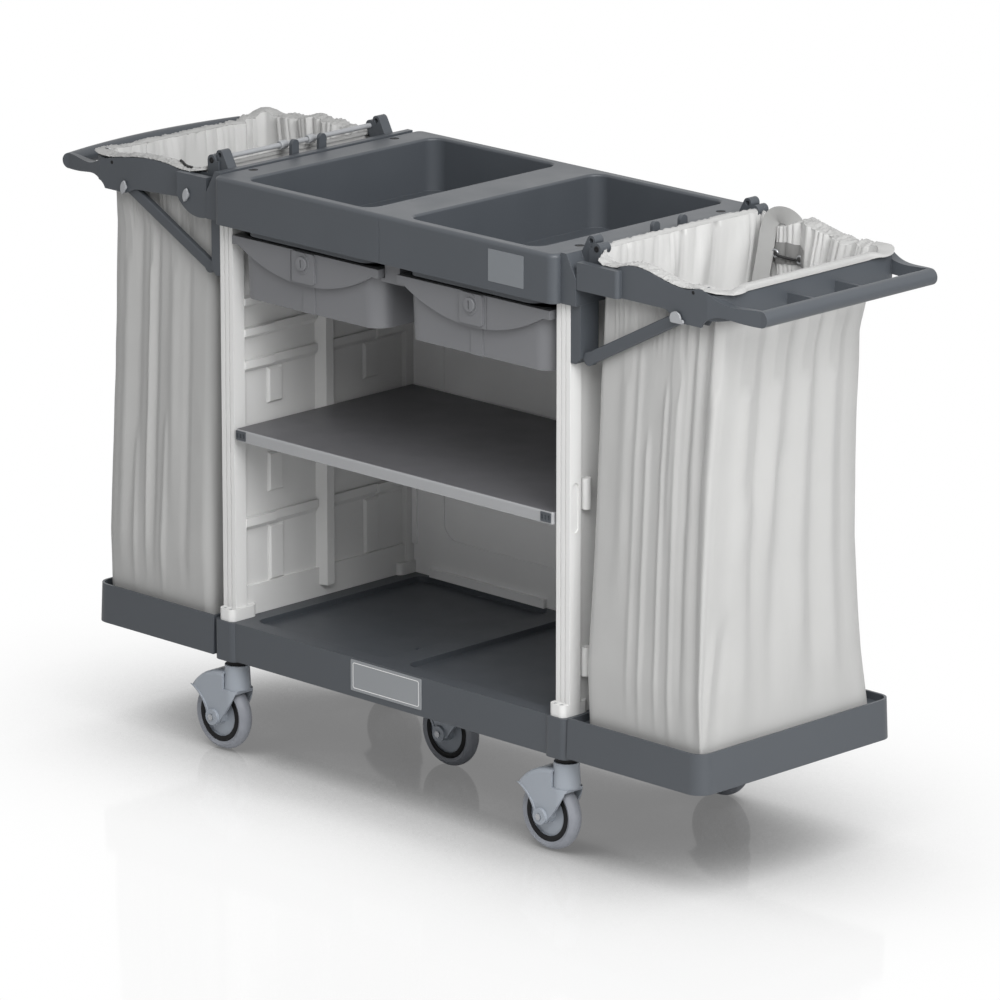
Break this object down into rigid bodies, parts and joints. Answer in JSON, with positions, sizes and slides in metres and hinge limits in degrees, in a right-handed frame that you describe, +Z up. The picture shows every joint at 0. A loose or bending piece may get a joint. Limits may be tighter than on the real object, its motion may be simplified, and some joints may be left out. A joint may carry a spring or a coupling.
{
  "type": "housekeeping trolley",
  "caption": "Wheeled hotel housekeeping trolley with an open two-basin top, drawers, shelf and base tray between fold-up bag holders with open laundry bags at both ends.",
  "frame": {"origin": "on the floor under the middle of the trolley", "axes": "+X to the right along the length, -Y towards the open front, +Z up"},
  "size_m": [1.903, 0.56, 1.196],
  "materials": {
    "slate_plastic": "satin moulded",
    "white_panel": "satin moulded",
    "back_panel_grey": "matte",
    "shelf_grey": "matte laminate",
    "drawer_grey": "satin moulded",
    "light_trim": "satin",
    "bag_cloth": "coated nylon",
    "steel": "brushed",
    "caster_grey": "satin moulded",
    "tyre_grey": "matte"
  },
  "bodies": {
    "chassis": {"base_tray": "slate_plastic", "left_platform": "slate_plastic", "right_platform": "slate_plastic", "left_side_panel": "white_panel", "right_side_panel": "white_panel", "back_panel": "back_panel_grey", "shelf": "shelf_grey", "shelf_end_caps": "slate_plastic", "top_tray": "slate_plastic", "drawer_hanger": "drawer_grey", "left_end_strip": "slate_plastic", "right_end_strip": "slate_plastic", "left_brackets": "slate_plastic", "right_brackets": "slate_plastic", "left_rod": "light_trim", "right_rod": "light_trim", "left_bag": "bag_cloth", "right_bag": "bag_cloth", "caster_stems": "steel", "centre_fork": "caster_grey", "centre_axle": "steel"},
    "left_drawer": {"left_drawer_body": "drawer_grey", "left_drawer_front": "drawer_grey"},
    "left_lock": {"left_drawer_lock": "drawer_grey"},
    "left_holder": {"left_holder_frame": "slate_plastic", "left_hooks": "light_trim"},
    "left_struts": {"left_strut_front": "slate_plastic", "left_strut_back": "slate_plastic"},
    "right_drawer": {"right_drawer_body": "drawer_grey", "right_drawer_front": "drawer_grey"},
    "right_lock": {"right_drawer_lock": "drawer_grey"},
    "right_holder": {"right_holder_frame": "slate_plastic", "right_hooks": "light_trim"},
    "right_struts": {"right_strut_front": "slate_plastic", "right_strut_back": "slate_plastic"},
    "front_left_caster": {"front_left_fork": "caster_grey", "front_left_axle": "steel"},
    "front_left_wheel": {"front_left_hub": "caster_grey", "front_left_tyre": "tyre_grey"},
    "front_right_caster": {"front_right_fork": "caster_grey", "front_right_axle": "steel"},
    "front_right_wheel": {"front_right_hub": "caster_grey", "front_right_tyre": "tyre_grey"},
    "back_left_caster": {"back_left_fork": "caster_grey", "back_left_axle": "steel"},
    "back_left_wheel": {"back_left_hub": "caster_grey", "back_left_tyre": "tyre_grey"},
    "back_right_caster": {"back_right_fork": "caster_grey", "back_right_axle": "steel"},
    "back_right_wheel": {"back_right_hub": "caster_grey", "back_right_tyre": "tyre_grey"},
    "centre_wheel": {"centre_hub": "caster_grey", "centre_tyre": "tyre_grey"}
  },
  "joints": [
    {"name": "left_drawer_slide", "type": "slide", "parent": "chassis", "child": "left_drawer", "axis": [0, -1, 0], "range_m": [0, 0.33]},
    {"name": "left_lock_turn", "type": "hinge", "parent": "left_drawer", "child": "left_lock", "pos_m": [-0.225, -0.263, 1.026], "axis": [0, 1, 0], "range_deg": [0, 90]},
    {"name": "left_holder_fold", "type": "hinge", "parent": "chassis", "child": "left_holder", "pos_m": [-0.514, 0, 1.174], "axis": [0, 1, 0], "range_deg": [0, 90]},
    {"name": "left_strut_swing", "type": "hinge", "parent": "left_holder", "child": "left_struts", "pos_m": [-0.738, 0, 1.088], "axis": [0, 1, 0], "range_deg": [-48.34, 0]},
    {"name": "right_drawer_slide", "type": "slide", "parent": "chassis", "child": "right_drawer", "axis": [0, -1, 0], "range_m": [0, 0.33]},
    {"name": "right_lock_turn", "type": "hinge", "parent": "right_drawer", "child": "right_lock", "pos_m": [0.225, -0.263, 1.026], "axis": [0, 1, 0], "range_deg": [0, 90]},
    {"name": "right_holder_fold", "type": "hinge", "parent": "chassis", "child": "right_holder", "pos_m": [0.514, 0, 1.174], "axis": [0, -1, 0], "range_deg": [0, 90]},
    {"name": "right_strut_swing", "type": "hinge", "parent": "right_holder", "child": "right_struts", "pos_m": [0.738, 0, 1.088], "axis": [0, -1, 0], "range_deg": [-48.34, 0]},
    {"name": "front_left_swivel", "type": "hinge", "parent": "chassis", "child": "front_left_caster", "pos_m": [-0.448, -0.233, 0.18], "axis": [0, 0, 1], "continuous": true},
    {"name": "front_left_spin", "type": "hinge", "parent": "front_left_caster", "child": "front_left_wheel", "pos_m": [-0.486, -0.233, 0.07], "axis": [0, 1, 0], "continuous": true},
    {"name": "front_right_swivel", "type": "hinge", "parent": "chassis", "child": "front_right_caster", "pos_m": [0.448, -0.233, 0.18], "axis": [0, 0, 1], "continuous": true},
    {"name": "front_right_spin", "type": "hinge", "parent": "front_right_caster", "child": "front_right_wheel", "pos_m": [0.41, -0.233, 0.07], "axis": [0, 1, 0], "continuous": true},
    {"name": "back_left_swivel", "type": "hinge", "parent": "chassis", "child": "back_left_caster", "pos_m": [-0.448, 0.233, 0.18], "axis": [0, 0, 1], "continuous": true},
    {"name": "back_left_spin", "type": "hinge", "parent": "back_left_caster", "child": "back_left_wheel", "pos_m": [-0.486, 0.233, 0.07], "axis": [0, 1, 0], "continuous": true},
    {"name": "back_right_swivel", "type": "hinge", "parent": "chassis", "child": "back_right_caster", "pos_m": [0.448, 0.233, 0.18], "axis": [0, 0, 1], "continuous": true},
    {"name": "back_right_spin", "type": "hinge", "parent": "back_right_caster", "child": "back_right_wheel", "pos_m": [0.41, 0.233, 0.07], "axis": [0, 1, 0], "continuous": true},
    {"name": "centre_spin", "type": "hinge", "parent": "chassis", "child": "centre_wheel", "pos_m": [-0.092, 0, 0.07], "axis": [0, 1, 0], "continuous": true}
  ],
  "couplings": [
    {"joint": "left_strut_swing", "follows": "left_holder_fold", "ratio": -0.53693},
    {"joint": "right_strut_swing", "follows": "right_holder_fold", "ratio": -0.53693}
  ]
}
